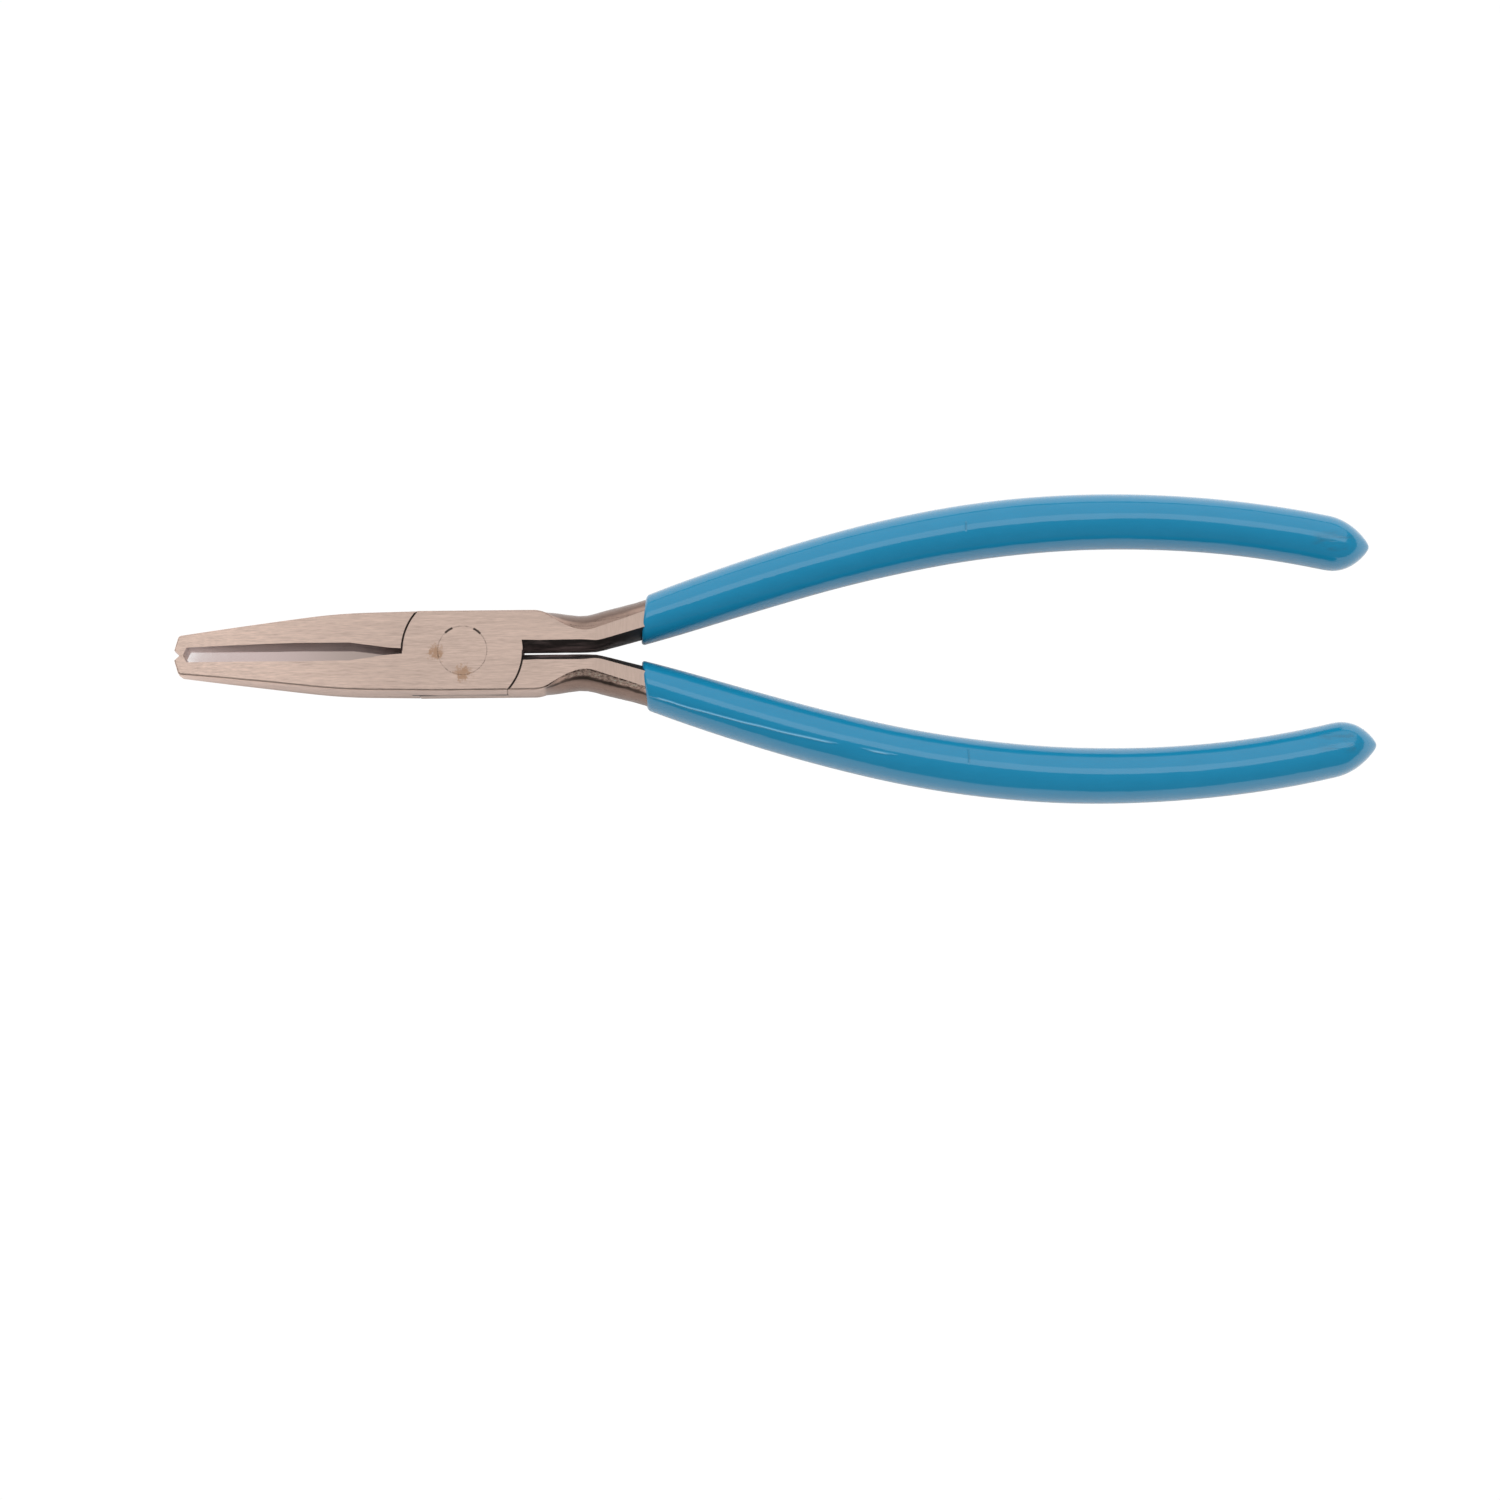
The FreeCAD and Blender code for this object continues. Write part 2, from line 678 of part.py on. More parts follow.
def check_document(nodes):
    """Stop if any object failed, or a node is not one valid solid."""
    for item in DOCUMENT.Objects:
        if {"Invalid", "Error"} & set(item.State):
            raise RuntimeError(f"{item.Name} failed: {item.State}")
    for node in nodes:
        shape = node.Shape
        if shape.isNull() or not shape.isValid() or len(shape.Solids) != 1:
            raise RuntimeError(f"{node.Label} is not one valid solid")


def main():
    """Build the five pieces, check them and write one STEP file for each."""
    lower_jaw = jaw_lever("lower_jaw_lever")
    upper_jaw = jaw_lever("upper_jaw_lever")
    turn_over(upper_jaw)
    rivet = pivot_rivet("pivot_rivet")
    upper_form = dip_form("upper_dip_form")
    lower_form = dip_form("lower_dip_form")
    turn_over(lower_form)
    nodes = [
        lower_jaw,
        upper_jaw,
        rivet,
        handle_grip("upper_handle_grip", upper_form, lower_jaw),
        handle_grip("lower_handle_grip", lower_form, upper_jaw),
    ]
    check_document(nodes)
    os.makedirs("parts", exist_ok=True)
    for node in nodes:
        node.Shape.exportStep(f"parts/{node.Label}.step")


main()
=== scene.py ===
import math

import bmesh
import bpy
import numpy as np
from mathutils import Matrix, Vector, noise
from mathutils.bvhtree import BVHTree


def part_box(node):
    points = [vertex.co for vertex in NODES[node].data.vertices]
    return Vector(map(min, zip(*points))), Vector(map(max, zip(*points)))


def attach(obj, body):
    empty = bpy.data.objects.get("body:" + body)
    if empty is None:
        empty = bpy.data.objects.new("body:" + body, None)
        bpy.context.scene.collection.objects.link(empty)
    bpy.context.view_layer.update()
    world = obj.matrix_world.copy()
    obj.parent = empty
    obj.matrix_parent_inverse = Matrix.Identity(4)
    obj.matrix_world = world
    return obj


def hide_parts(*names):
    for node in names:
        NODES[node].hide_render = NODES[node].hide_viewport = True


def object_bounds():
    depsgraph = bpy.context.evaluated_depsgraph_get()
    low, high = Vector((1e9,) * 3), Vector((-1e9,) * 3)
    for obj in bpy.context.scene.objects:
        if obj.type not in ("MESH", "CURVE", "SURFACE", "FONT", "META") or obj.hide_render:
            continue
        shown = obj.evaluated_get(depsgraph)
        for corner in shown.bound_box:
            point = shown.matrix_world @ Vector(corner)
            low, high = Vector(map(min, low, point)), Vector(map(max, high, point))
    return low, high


# Long-reach pliers with dipped handles, lying closed on a white table and seen from above.
# Everything is in metres, in the frame of the CAD model: +X runs to the handles, +Z up through
# the rivet. Material patterns are laid out in millimetres of that same frame.

MM = 0.001

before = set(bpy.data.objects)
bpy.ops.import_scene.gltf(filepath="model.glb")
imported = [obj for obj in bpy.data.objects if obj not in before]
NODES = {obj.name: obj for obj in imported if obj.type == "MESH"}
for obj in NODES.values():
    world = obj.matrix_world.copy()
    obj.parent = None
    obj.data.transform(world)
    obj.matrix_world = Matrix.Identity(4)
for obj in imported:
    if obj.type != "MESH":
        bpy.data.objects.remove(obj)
CAD_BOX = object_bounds()

HEAD_LOW, HEAD_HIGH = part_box("pivot_rivet")
MID_HEIGHT = (HEAD_LOW.z + HEAD_HIGH.z) / 2

# Measuring rays start this far off.
FAR = 1.0


# ---------------------------------------------------------------- dipped grips

# Angles round a grip's section in degrees, closer together where a run in the dip may stand.
COARSE_TURN = 3.75
FINE_TURN = 0.5
RUN_ZONE = (50.0, 86.0)
RING_TURNS = [
    *np.arange(0.0, RUN_ZONE[0], COARSE_TURN),
    *np.arange(*RUN_ZONE, FINE_TURN),
    *np.arange(RUN_ZONE[1], 360.0 - COARSE_TURN / 2, COARSE_TURN),
]
RING_POINTS = len(RING_TURNS)

# Measures taken along a CAD grip, and the degree of the curves fitted through them.
MEASURES = 80
CURVE_DEGREE = 6

# How the dip lies on the handle, in millimetres unless it is a plain ratio. The measures keep
# clear of the two ends by the margins, and the tip bends outwards by the tip turn.
FRONT_MARGIN = 2.5
END_MARGIN = 8.4
FRONT_LEAN = math.tan(math.radians(6.0))
FRONT_MIDDLE = 0.55
LEAN_FADE = 25.0
LIP_ROUND = 0.6
CAVITY_END = 0.05
SKIN_GAP = 0.01
END_TAPER = 8.0
END_POWER = 2.25
END_BLUNT = 1.0
UPPER_TIP_TURN = 0.75
LOWER_TIP_TURN = 0.8
WAVE_HEIGHT = 0.035
WAVE_LENGTH = 14.0
WAVE_TURNS = 1.2
WAVE_SHIFT = 40.0

# Rings of points in each stretch of a grip.
CAVITY_RINGS = 30
LIP_RINGS = 7
SIDE_RINGS = 150
END_RINGS = 30

# Thin runs that dried on the lower grip: first x and turn, last x and turn. Turns are in degrees
# round the section, and lengths in millimetres.
RUNS = ((31.0, 57.0, 63.0, 75.5), (66.5, 78.0, 72.5, 79.5))
RUN_HEIGHT = 0.2
RUN_HALF_TURN = 2.8
RUN_FADE = 2.5
RUN_WANDER = 1.6
RUN_WANDER_LENGTH = 4.0
# Point attribute holding each run's share, which the vinyl uses to paint a pale highlight along the
# run.
RUN_HIGHLIGHT_MARK = "dried_run_highlight"


def surface_of(node):
    """Ray-casting tree of a CAD node's surface."""
    mesh = NODES[node].data
    corners = [vertex.co for vertex in mesh.vertices]
    faces = [tuple(polygon.vertices) for polygon in mesh.polygons]
    return BVHTree.FromPolygons(corners, faces)


class Grip:
    """Smooth outer form of one grip, measured on its CAD node by ray casting."""

    def __init__(self, node, tip_turn, runs):
        low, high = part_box(node)
        self.runs = runs
        self.side = math.copysign(1.0, low.y + high.y)
        self.front = low.x + FRONT_MIDDLE * MM
        self.tip = high.x
        self.stop = high.x - END_MARGIN * MM
        self.tip_turn = tip_turn * MM
        self.measure(surface_of(node), low.x + FRONT_MARGIN * MM)

    def measure(self, tree, start):
        """Fit curves to the grip's centre line, half width and half height."""
        outwards = Vector((0, self.side, 0))
        up = Vector((0, 0, 1))
        places = np.linspace(start, self.stop, MEASURES)
        rows = []
        for x in places:
            inside = Vector((x, 0, MID_HEIGHT))
            outer = tree.ray_cast(inside + outwards * FAR, -outwards)[0]
            inner = tree.ray_cast(inside - outwards * FAR, outwards)[0]
            middle = (outer.y + inner.y) / 2
            top = tree.ray_cast(Vector((x, middle, 0)) + up * FAR, -up)[0]
            rows.append((middle, abs(outer.y - inner.y) / 2, top.z - MID_HEIGHT))
        fits = [np.polynomial.Polynomial.fit(places, column, CURVE_DEGREE) for column in zip(*rows)]
        self.middle, self.half_width, self.half_height = fits
        self.end_slope = self.middle.deriv()(self.stop)

    def middle_at(self, x):
        """The centre line. Past the last measure it runs on straight and then bends outwards."""
        past = max(0.0, x - self.stop)
        bend = self.tip_turn * self.side * (past / (END_MARGIN * MM)) ** 2
        return self.middle(x - past) + self.end_slope * past + bend

    def end_share(self, x):
        """How much of the full section is left near the end, down to nothing at the tip."""
        left = max(0.0, self.tip - x) / MM
        left = min(math.sqrt(left * (left + END_BLUNT)), END_TAPER)
        return 1 - (1 - left / END_TAPER) ** END_POWER

    def run_height(self, x, turn):
        """How far a run in the dip stands proud of the smooth form."""
        height = 0.0
        for first_x, first_turn, last_x, last_turn in self.runs:
            along = (x / MM - first_x) / (last_x - first_x)
            wander = noise.noise(Vector((x / (RUN_WANDER_LENGTH * MM), first_x, 0.0))) * RUN_WANDER
            run_turn = first_turn + along * (last_turn - first_turn) + wander
            away = abs(turn - run_turn) / RUN_HALF_TURN
            ends = min(x / MM - first_x, last_x - x / MM) / RUN_FADE
            if away < 1 and ends > 0:
                height = RUN_HEIGHT * MM * min(1.0, ends) * (1 + math.cos(math.pi * away)) / 2
        return height

    def ring(self, x, inset=0.0):
        """One closed ring of points round the grip, starting on its outer side."""
        fade = min(1.0, max(0.0, (x - self.front) / (LEAN_FADE * MM)))
        lean = FRONT_LEAN * (1 - fade * fade * (3 - 2 * fade))
        share = self.end_share(x)
        points = []
        for degrees in RING_TURNS:
            turn = math.radians(degrees)
            here = x + lean * math.cos(turn) * self.half_width(min(x, self.stop))
            held = min(here, self.stop)
            proud = self.run_height(here, degrees) - inset
            wide = (self.half_width(held) + proud) * share
            tall = (self.half_height(held) + proud) * share
            point = Vector((here, self.middle_at(here), MID_HEIGHT))
            point.y += self.side * math.cos(turn) * wide
            point.z += math.sin(turn) * tall
            points.append(point)
        return points

    def outer_rings(self):
        """Rings over the rounded lip, along the side and round the end."""
        rings = []
        for number in range(LIP_RINGS):
            angle = math.pi / 2 * number / LIP_RINGS
            x = self.front + LIP_ROUND * MM * (1 - math.cos(angle))
            rings.append(self.ring(x, LIP_ROUND * MM * (1 - math.sin(angle))))
        side_end = self.tip - END_TAPER * MM
        for x in np.linspace(self.front + LIP_ROUND * MM, side_end, SIDE_RINGS):
            rings.append(self.ring(x))
        for number in range(END_RINGS - 1, 0, -1):
            left = END_TAPER * MM * (number / END_RINGS) ** 2
            rings.append(self.ring(self.tip - left))
        return [waved(ring) for ring in rings]

    def cavity_rings(self, steel, tang_end):
        """Rings that wrap the steel, from the tang's end to the dip line."""
        rings = []
        for x in np.linspace(tang_end - CAVITY_END * MM, self.front, CAVITY_RINGS):
            rings.append(steel_ring(self.ring(x, LIP_ROUND * MM), steel))
        return rings


def waved(points):
    """Push a ring in and out by the dip's own slight waviness."""
    middle = sum(points, Vector()) / len(points)
    moved = []
    for point in points:
        out = (point - middle).normalized()
        place = Vector((point.x / (WAVE_LENGTH * MM), out.y * WAVE_TURNS, out.z * WAVE_TURNS))
        place.z += middle.y * WAVE_SHIFT
        moved.append(point + out * noise.noise(place) * WAVE_HEIGHT * MM)
    return moved


def steel_ring(points, tree):
    """The same ring, drawn in until it lies a hair outside the steel."""
    middle = sum(points, Vector()) / len(points)
    drawn = []
    for point in points:
        inwards = (middle - point).normalized()
        hit = tree.ray_cast(point, inwards)[0]
        drawn.append(hit - inwards * SKIN_GAP * MM)
    return drawn


def skin(name, rings, first_pole, last_pole):
    """One closed mesh through a row of rings, with a pole at each end."""
    points = [first_pole] + [point for ring in rings for point in ring] + [last_pole]
    count = RING_POINTS
    faces = []
    for step in range(count):
        following = (step + 1) % count
        faces.append((0, 1 + following, 1 + step))
        for number in range(len(rings) - 1):
            near = 1 + number * count
            far = near + count
            faces.append((near + step, near + following, far + following, far + step))
        last = 1 + (len(rings) - 1) * count
        faces.append((last + step, last + following, len(points) - 1))
    mesh = bpy.data.meshes.new(name)
    mesh.from_pydata(points, [], faces)
    sheet = bmesh.new()
    sheet.from_mesh(mesh)
    bmesh.ops.recalc_face_normals(sheet, faces=sheet.faces)
    sheet.to_mesh(mesh)
    sheet.free()
    mesh.shade_smooth()
    obj = bpy.data.objects.new(name, mesh)
    bpy.context.scene.collection.objects.link(obj)
    return obj


def mark_runs(piece, grip, outer):
    """Store on each point how much of a dried run it carries, which the vinyl uses to paint a pale
    highlight along the run. The cavity's points carry none.
    """
    marks = [0.0] * (1 + RING_POINTS * CAVITY_RINGS)
    for ring in outer:
        for point, turn in zip(ring, RING_TURNS):
            marks.append(grip.run_height(point.x, turn) / (RUN_HEIGHT * MM))
    marks.append(0.0)
    attribute = piece.data.attributes.new(RUN_HIGHLIGHT_MARK, "FLOAT", "POINT")
    attribute.data.foreach_set("value", marks)


def make_grip(name, node, lever, body, tip_turn, runs):
    """A dipped grip: a rounded lip at the dip line, a smooth oval body and a run-off point."""
    grip = Grip(node, tip_turn, runs)
    tang_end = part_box(lever)[1].x
    cavity = grip.cavity_rings(surface_of(lever), tang_end)
    outer = grip.outer_rings()
    inside_pole = Vector((tang_end + CAVITY_END * MM, grip.middle_at(tang_end), MID_HEIGHT))
    tip_pole = Vector((grip.tip, grip.middle_at(grip.tip), MID_HEIGHT))
    piece = skin(name, cavity + outer, inside_pole, tip_pole)
    mark_runs(piece, grip, outer)
    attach(piece, body)
    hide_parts(node)
    return piece


# ---------------------------------------------------------------- materials


class Graph:
    """The node tree of one material, with short calls for the nodes that are used most."""

    def __init__(self, name):
        self.material = bpy.data.materials.new(name)
        self.material.use_nodes = True
        self.tree = self.material.node_tree
        self.shader = self.tree.nodes["Principled BSDF"]
        place = self.node("ShaderNodeTexCoord")
        self.place = self.vector("SCALE", place.outputs["Object"], scale=1 / MM)
        self.x, self.y, self.z = self.split(self.place)
        self.facing = self.split(place.outputs["Normal"])

    def node(self, kind, **settings):
        """A new node with its settings made."""
        made = self.tree.nodes.new(kind)
        for name, value in settings.items():
            setattr(made, name, value)
        return made

    def feed(self, socket, value):
        """Give an input a constant or another node's output."""
        if isinstance(value, bpy.types.NodeSocket):
            self.tree.links.new(value, socket)
        elif isinstance(value, tuple) and len(socket.default_value) == 4:
            socket.default_value = (*value, 1.0)
        else:
            socket.default_value = value

    def split(self, vector):
        """The three components of a vector."""
        made = self.node("ShaderNodeSeparateXYZ")
        self.feed(made.inputs[0], vector)
        return tuple(made.outputs)

    def math(self, operation, first, second=0.0):
        """One sum on two numbers."""
        made = self.node("ShaderNodeMath", operation=operation)
        self.feed(made.inputs[0], first)
        self.feed(made.inputs[1], second)
        return made.outputs[0]

    def vector(self, operation, first, second=None, scale=None):
        """One sum on vectors, which gives a number for a length or a distance."""
        made = self.node("ShaderNodeVectorMath", operation=operation)
        self.feed(made.inputs[0], first)
        if second is not None:
            self.feed(made.inputs[1], second)
        if scale is not None:
            self.feed(made.inputs["Scale"], scale)
        return made.outputs[1 if operation in ("LENGTH", "DISTANCE") else 0]

    def ramp(self, value, low, high):
        """0 below low and 1 above high, with a soft step between. Low may be the larger one."""
        made = self.node("ShaderNodeMapRange", interpolation_type="SMOOTHSTEP")
        ends = (0.0, 1.0) if low < high else (1.0, 0.0)
        self.feed(made.inputs["Value"], value)
        made.inputs["From Min"].default_value = min(low, high)
        made.inputs["From Max"].default_value = max(low, high)
        made.inputs["To Min"].default_value = ends[0]
        made.inputs["To Max"].default_value = ends[1]
        return made.outputs["Result"]

    def band(self, value, middle, half, soft):
        """1 within half of the middle, falling to 0 over soft."""
        away = self.math("ABSOLUTE", self.math("SUBTRACT", value, middle))
        return self.ramp(away, half + soft, half)

    def all_of(self, *masks):
        """The masks multiplied: full only where all are."""
        product = masks[0]
        for mask in masks[1:]:
            product = self.math("MULTIPLY", product, mask)
        return product

    def any_of(self, *masks):
        """The largest of the masks."""
        most = masks[0]
        for mask in masks[1:]:
            most = self.math("MAXIMUM", most, mask)
        return most

    def spread(self, value, low, high):
        """Stretch a 0 to 1 value to run from low to high."""
        made = self.node("ShaderNodeMapRange")
        self.feed(made.inputs["Value"], value)
        made.inputs["To Min"].default_value = low
        made.inputs["To Max"].default_value = high
        return made.outputs["Result"]

    def noise(self, sizes, detail=2.0, rough=0.5, shift=(0.0, 0.0, 0.0)):
        """Noise whose patches have the given length along each axis, in millimetres."""
        scaled = self.vector("DIVIDE", self.place, sizes)
        moved = self.vector("ADD", scaled, shift)
        made = self.node("ShaderNodeTexNoise")
        self.feed(made.inputs["Vector"], moved)
        made.inputs["Scale"].default_value = 1.0
        made.inputs["Detail"].default_value = detail
        made.inputs["Roughness"].default_value = rough
        return made.outputs["Fac"]

    def mix(self, share, first, second):
        """Blend two numbers."""
        made = self.node("ShaderNodeMix", data_type="FLOAT")
        self.feed(made.inputs[0], share)
        self.feed(made.inputs[2], first)
        self.feed(made.inputs[3], second)
        return made.outputs[0]

    def paint(self, share, under, over):
        """Blend two colours."""
        made = self.node("ShaderNodeMix", data_type="RGBA")
        self.feed(made.inputs[0], share)
        self.feed(made.inputs[6], under)
        self.feed(made.inputs[7], over)
        return made.outputs[2]

    def stain(self, under, mask, strength, over):
        """Lay a colour over another where a mask says, no stronger than strength."""
        return self.paint(self.math("MULTIPLY", mask, strength), under, over)

    def tint(self, color, factor):
        """Multiply a colour by a number."""
        return self.vector("SCALE", color, scale=factor)

    def bump(self, height, depth):
        """Bump from a 0 to 1 height, with its depth in millimetres."""
        made = self.node("ShaderNodeBump")
        made.inputs["Strength"].default_value = 1.0
        made.inputs["Distance"].default_value = depth * MM
        self.feed(made.inputs["Height"], height)
        return made.outputs["Normal"]

    def finish(self, **inputs):
        """Feed the shader, whose inputs are named with _ for a space."""
        for name, value in inputs.items():
            self.feed(self.shader.inputs[name.replace("_", " ")], value)
        return self.material


# Colours are linear.
WHITE = (1.0, 1.0, 1.0)
BLACK = (0.0, 0.0, 0.0)
GROUND = (0.51, 0.39, 0.332)
SCALLOP = (0.36, 0.255, 0.21)
JAW_WALL = (0.53, 0.41, 0.39)
SCALE_BLACK = (0.012, 0.009, 0.008)
SCALE_BROWN = (0.18, 0.13, 0.125)
RUST = (0.29, 0.165, 0.09)
GRIME = (0.022, 0.017, 0.015)
VINYL = (0.005, 0.137, 0.248)
# Pale blue painted along the dried runs as a highlight.
VINYL_RUN_HIGHLIGHT = (0.16, 0.36, 0.50)
VINYL_SMEAR = (0.012, 0.045, 0.065)
TABLE = (0.80, 0.77, 0.76)
TABLE_SHADE = (0.57, 0.46, 0.44)
TABLE_DEEP_SHADE = (0.36, 0.29, 0.26)

# How a surface has to face to belong to a finish. Each pair runs from none to full.
FLAT_FACING = (0.93, 0.985)
UPWARD_FACING = (0.5, 0.9)
OUTWARD_FACING = (0.0, 0.2)
INWARD_FACING = (0.0, -0.2)

# Where the steel's finishes lie along X, in millimetres. Each pair runs from none to full.
NOSE_ZONE = (-8.0, -46.0)
JAW_WALL_ZONE = (-9.6, -10.0)
LAP_END_FRONT = (8.6, 9.2)
LAP_END_BACK = (10.4, 10.2)
INNER_FACE_ZONE = (9.6, 10.0)
SCALLOP_ZONE = (13.4, 14.2)
ROUGH_BAND_ZONE = (15.0, 19.0)
NECK_ZONE = (20.5, 23.5)
BROWNED_ZONE = (27.0, 19.0)

# The same across the tool, and then up or down from mid height.
LAP_END_HALF = (3.4, 2.8)
LOWER_HANDLE_SIDE = (1.0, -1.0)
NEAR_CHEEK = (3.7, 4.4)
CHEEK_EDGE = (4.64, 4.78)
BROWNED_LIFT = (4.2, 0.8)

# Lines, in millimetres: middle, half width and soft edge.
LAP_LINE = (10.14, 0.13, 0.08)
PARTING_LINE_LIFT = (0.0, 0.45, 0.25)
PARTING_LINE_SPAN = (-0.6, 7.9, 0.4)
RIM_LINE = (4.13, 0.04, 0.12)
RIM_MARK_LINE = (4.13, 0.12, 0.12)
SCALLOP_LINE = (3.9, 0.1, 0.3)

# Brightness that a pattern gives its colour, at 0 and at 1.
STREAK_TONE = (0.35, 1.65)
NECK_STREAKS = (0.25, 0.62)
CLOUD_TONE = (-0.08, 0.08)
NOSE_TONE = (0.92, 1.14)
ROUGH_STREAK_TONE = (0.62, 1.3)
SPECKLE_TONE = (-0.16, 0.16)
UPPER_SCALLOP_TONE = (0.5, 1.0)
LOWER_SCALLOP_TONE = (0.56, 2.5)
ROUGH_BAND_TONE = (-0.6, 2.6)
SMEAR_TONE = (0.93, 1.07)
FIBRE_TONE = (0.97, 1.0)

# How much each mark hides of what lies under it.
LAP_LINE_COVER = 0.97
RUST_COVER = 0.72
RIM_COVER = 0.45
RIM_MARK_COVER = 0.9
SCUFF_COVER = 0.35
# How much of the painted highlight lies along the dried runs.
RUN_HIGHLIGHT_COVER = 0.55
NICK_COVER = 0.2

# Marks on the cheeks, in millimetres: rust as x, y and radius, and rim marks as x and y.
RUST_SPOTS = ((-4.4, -0.3, 1.5), (0.1, -3.8, 1.7))
RUST_RAGGED = 1.6
RIM_MARKS = ((-2.3, 3.5), (2.5, 3.3))
RIM_MARK_REACH = (0.85, 0.65)

# How rough and how bumpy the steel is. Bump depths are in millimetres.
FINE_STREAK_SHARE = 0.55
GROUND_ROUGHNESS = (0.34, 0.54)
SCALLOP_ROUGHNESS = (0.18, 0.42)
SCALE_ROUGHNESS = 0.5
GROUND_ANISOTROPY = 0.6
STEEL_BUMP = 0.006
SCALLOP_BUMP = 2.0
SCALE_BUMP = 4.0

# Marks on the grips, in millimetres: scuffs as middle, half width and soft edge along and across
# the tool, and nicks as x, y and half length.
SCUFF_SPAN = (147.5, 2.0, 2.5)
SCUFF_SIDE = (17.2, 0.8, 1.4)
GRIP_NICKS = ((85.0, 20.2, 0.5), (84.6, -18.9, 1.0))
NICK_TOP = (8.0, 9.0)
VINYL_ROUGHNESS = (0.06, 0.16)
SCUFF_ROUGHNESS = 0.2
VINYL_BUMP = 0.05
PEEL_BUMP = 0.12
SCUFF_BUMP = -0.5
NICK_BUMP = -1.5

# Where the table lies shut in between the closed jaws, in millimetres.
SLOT_SPAN = (-29.2, 19.4, 0.6)
SLOT_SIDE = (1.7, 2.4, 1.0)
SLOT_DEEP_ZONE = (-38.0, -13.0)
SHADE_REACH = 14.0
SHADE_OPENNESS = (0.7, 0.46)
TABLE_BRIGHTNESS = 1.02


class ForgedSteel(Graph):
    """Ground and forged steel. The flats carry grinding streaks, the outer scallops of the shanks
    are polished with rough streaks left in them, and the inner shank faces keep black scale."""

    def __init__(self, name):
        super().__init__(name)
        side_facing, self.up_facing = self.facing[1:]
        self.lift = self.math("ABSOLUTE", self.math("SUBTRACT", self.z, MID_HEIGHT / MM))
        self.flat = self.ramp(self.math("ABSOLUTE", self.up_facing), *FLAT_FACING)
        self.not_flat = self.math("SUBTRACT", 1.0, self.flat)
        self.upper_side = self.ramp(self.up_facing, *UPWARD_FACING)
        self.outwards = self.math("MULTIPLY", side_facing, self.y)
        self.on_plan = self.vector("MULTIPLY", self.place, (1.0, 1.0, 0.0))
        self.from_axis = self.vector("LENGTH", self.on_plan)
        self.rough_streaks = self.noise((7.0, 0.7, 0.7), detail=4.0, rough=0.65, shift=(4.0, 4.0, 9.0))
        self.speckle = self.noise((0.55, 0.3, 0.3), detail=3.0, rough=0.7)
        self.streaks = self.grinding_streaks()
        self.side_tone = self.math(
            "ADD",
            self.spread(self.rough_streaks, *ROUGH_STREAK_TONE),
            self.spread(self.speckle, *SPECKLE_TONE),
        )

    def grain(self, long_axis):
        """Grinding streaks along one axis: a 0 to 1 value made of coarse and fine streaks."""
        def sizes(length, width):
            return tuple(length if axis == long_axis else width for axis in "xyz")

        coarse = self.noise(sizes(7.0, 0.45), detail=3.0, rough=0.62)
        fine = self.noise(sizes(2.0, 0.17), detail=2.0, rough=0.6, shift=(7.3, 1.9, 4.1))
        return self.mix(FINE_STREAK_SHARE, coarse, fine)

    def grinding_streaks(self):
        """Streaks that run lengthways on the cheeks and across on the necks of the handles."""
        wander = self.noise((3.0, 3.0, 3.0), detail=3.0, rough=0.6, shift=(2.0, 5.0, 1.0))
        wandering_x = self.math("ADD", self.x, self.spread(wander, -1.5, 1.5))
        neck = self.ramp(wandering_x, *NECK_ZONE)
        return self.mix(neck, self.grain("x"), self.spread(self.grain("y"), *NECK_STREAKS))

    def ground_color(self):
        """Ground flats: streaks and faint clouds, a little paler towards the nose."""
        clouds = self.noise((22.0, 5.0, 5.0), detail=3.0, rough=0.55, shift=(1.0, 8.0, 3.0))
        tone = self.math(
            "ADD",
            self.spread(self.streaks, *STREAK_TONE),
            self.spread(clouds, *CLOUD_TONE),
        )
        nose_tone = self.spread(self.ramp(self.x, *NOSE_ZONE), *NOSE_TONE)
        return self.tint(GROUND, self.math("MULTIPLY", tone, nose_tone))

    def scallop_mask(self):
        """The outer sides of the shanks."""
        return self.all_of(
            self.not_flat,
            self.ramp(self.x, *SCALLOP_ZONE),
            self.ramp(self.outwards, *OUTWARD_FACING),
        )

    def scallop_color(self):
        """Dark polish with dirt lines near the cheeks. The lower handle's has a rough, bright band."""
        lower_handle = self.ramp(self.y, *LOWER_HANDLE_SIDE)
        near_cheek = self.ramp(self.lift, *NEAR_CHEEK)
        rough_band = self.all_of(near_cheek, lower_handle, self.ramp(self.x, *ROUGH_BAND_ZONE))
        tone = self.mix(
            lower_handle,
            self.spread(near_cheek, *UPPER_SCALLOP_TONE),
            self.spread(rough_band, *LOWER_SCALLOP_TONE),
        )
        speckles = self.mix(rough_band, 1.0, self.spread(self.speckle, *ROUGH_BAND_TONE))
        tone = self.all_of(self.side_tone, tone, speckles)
        wavering_lift = self.math("ADD", self.lift, self.spread(self.rough_streaks, -0.4, 0.4))
        dirt_lines = self.any_of(
            self.band(wavering_lift, *SCALLOP_LINE),
            self.all_of(self.ramp(self.lift, *CHEEK_EDGE), self.ramp(self.speckle, 0.7, 0.4)),
        )
        dirt = self.math("MULTIPLY", dirt_lines, self.spread(lower_handle, 0.15, 0.8))
        return self.paint(dirt, self.tint(SCALLOP, tone), GRIME)

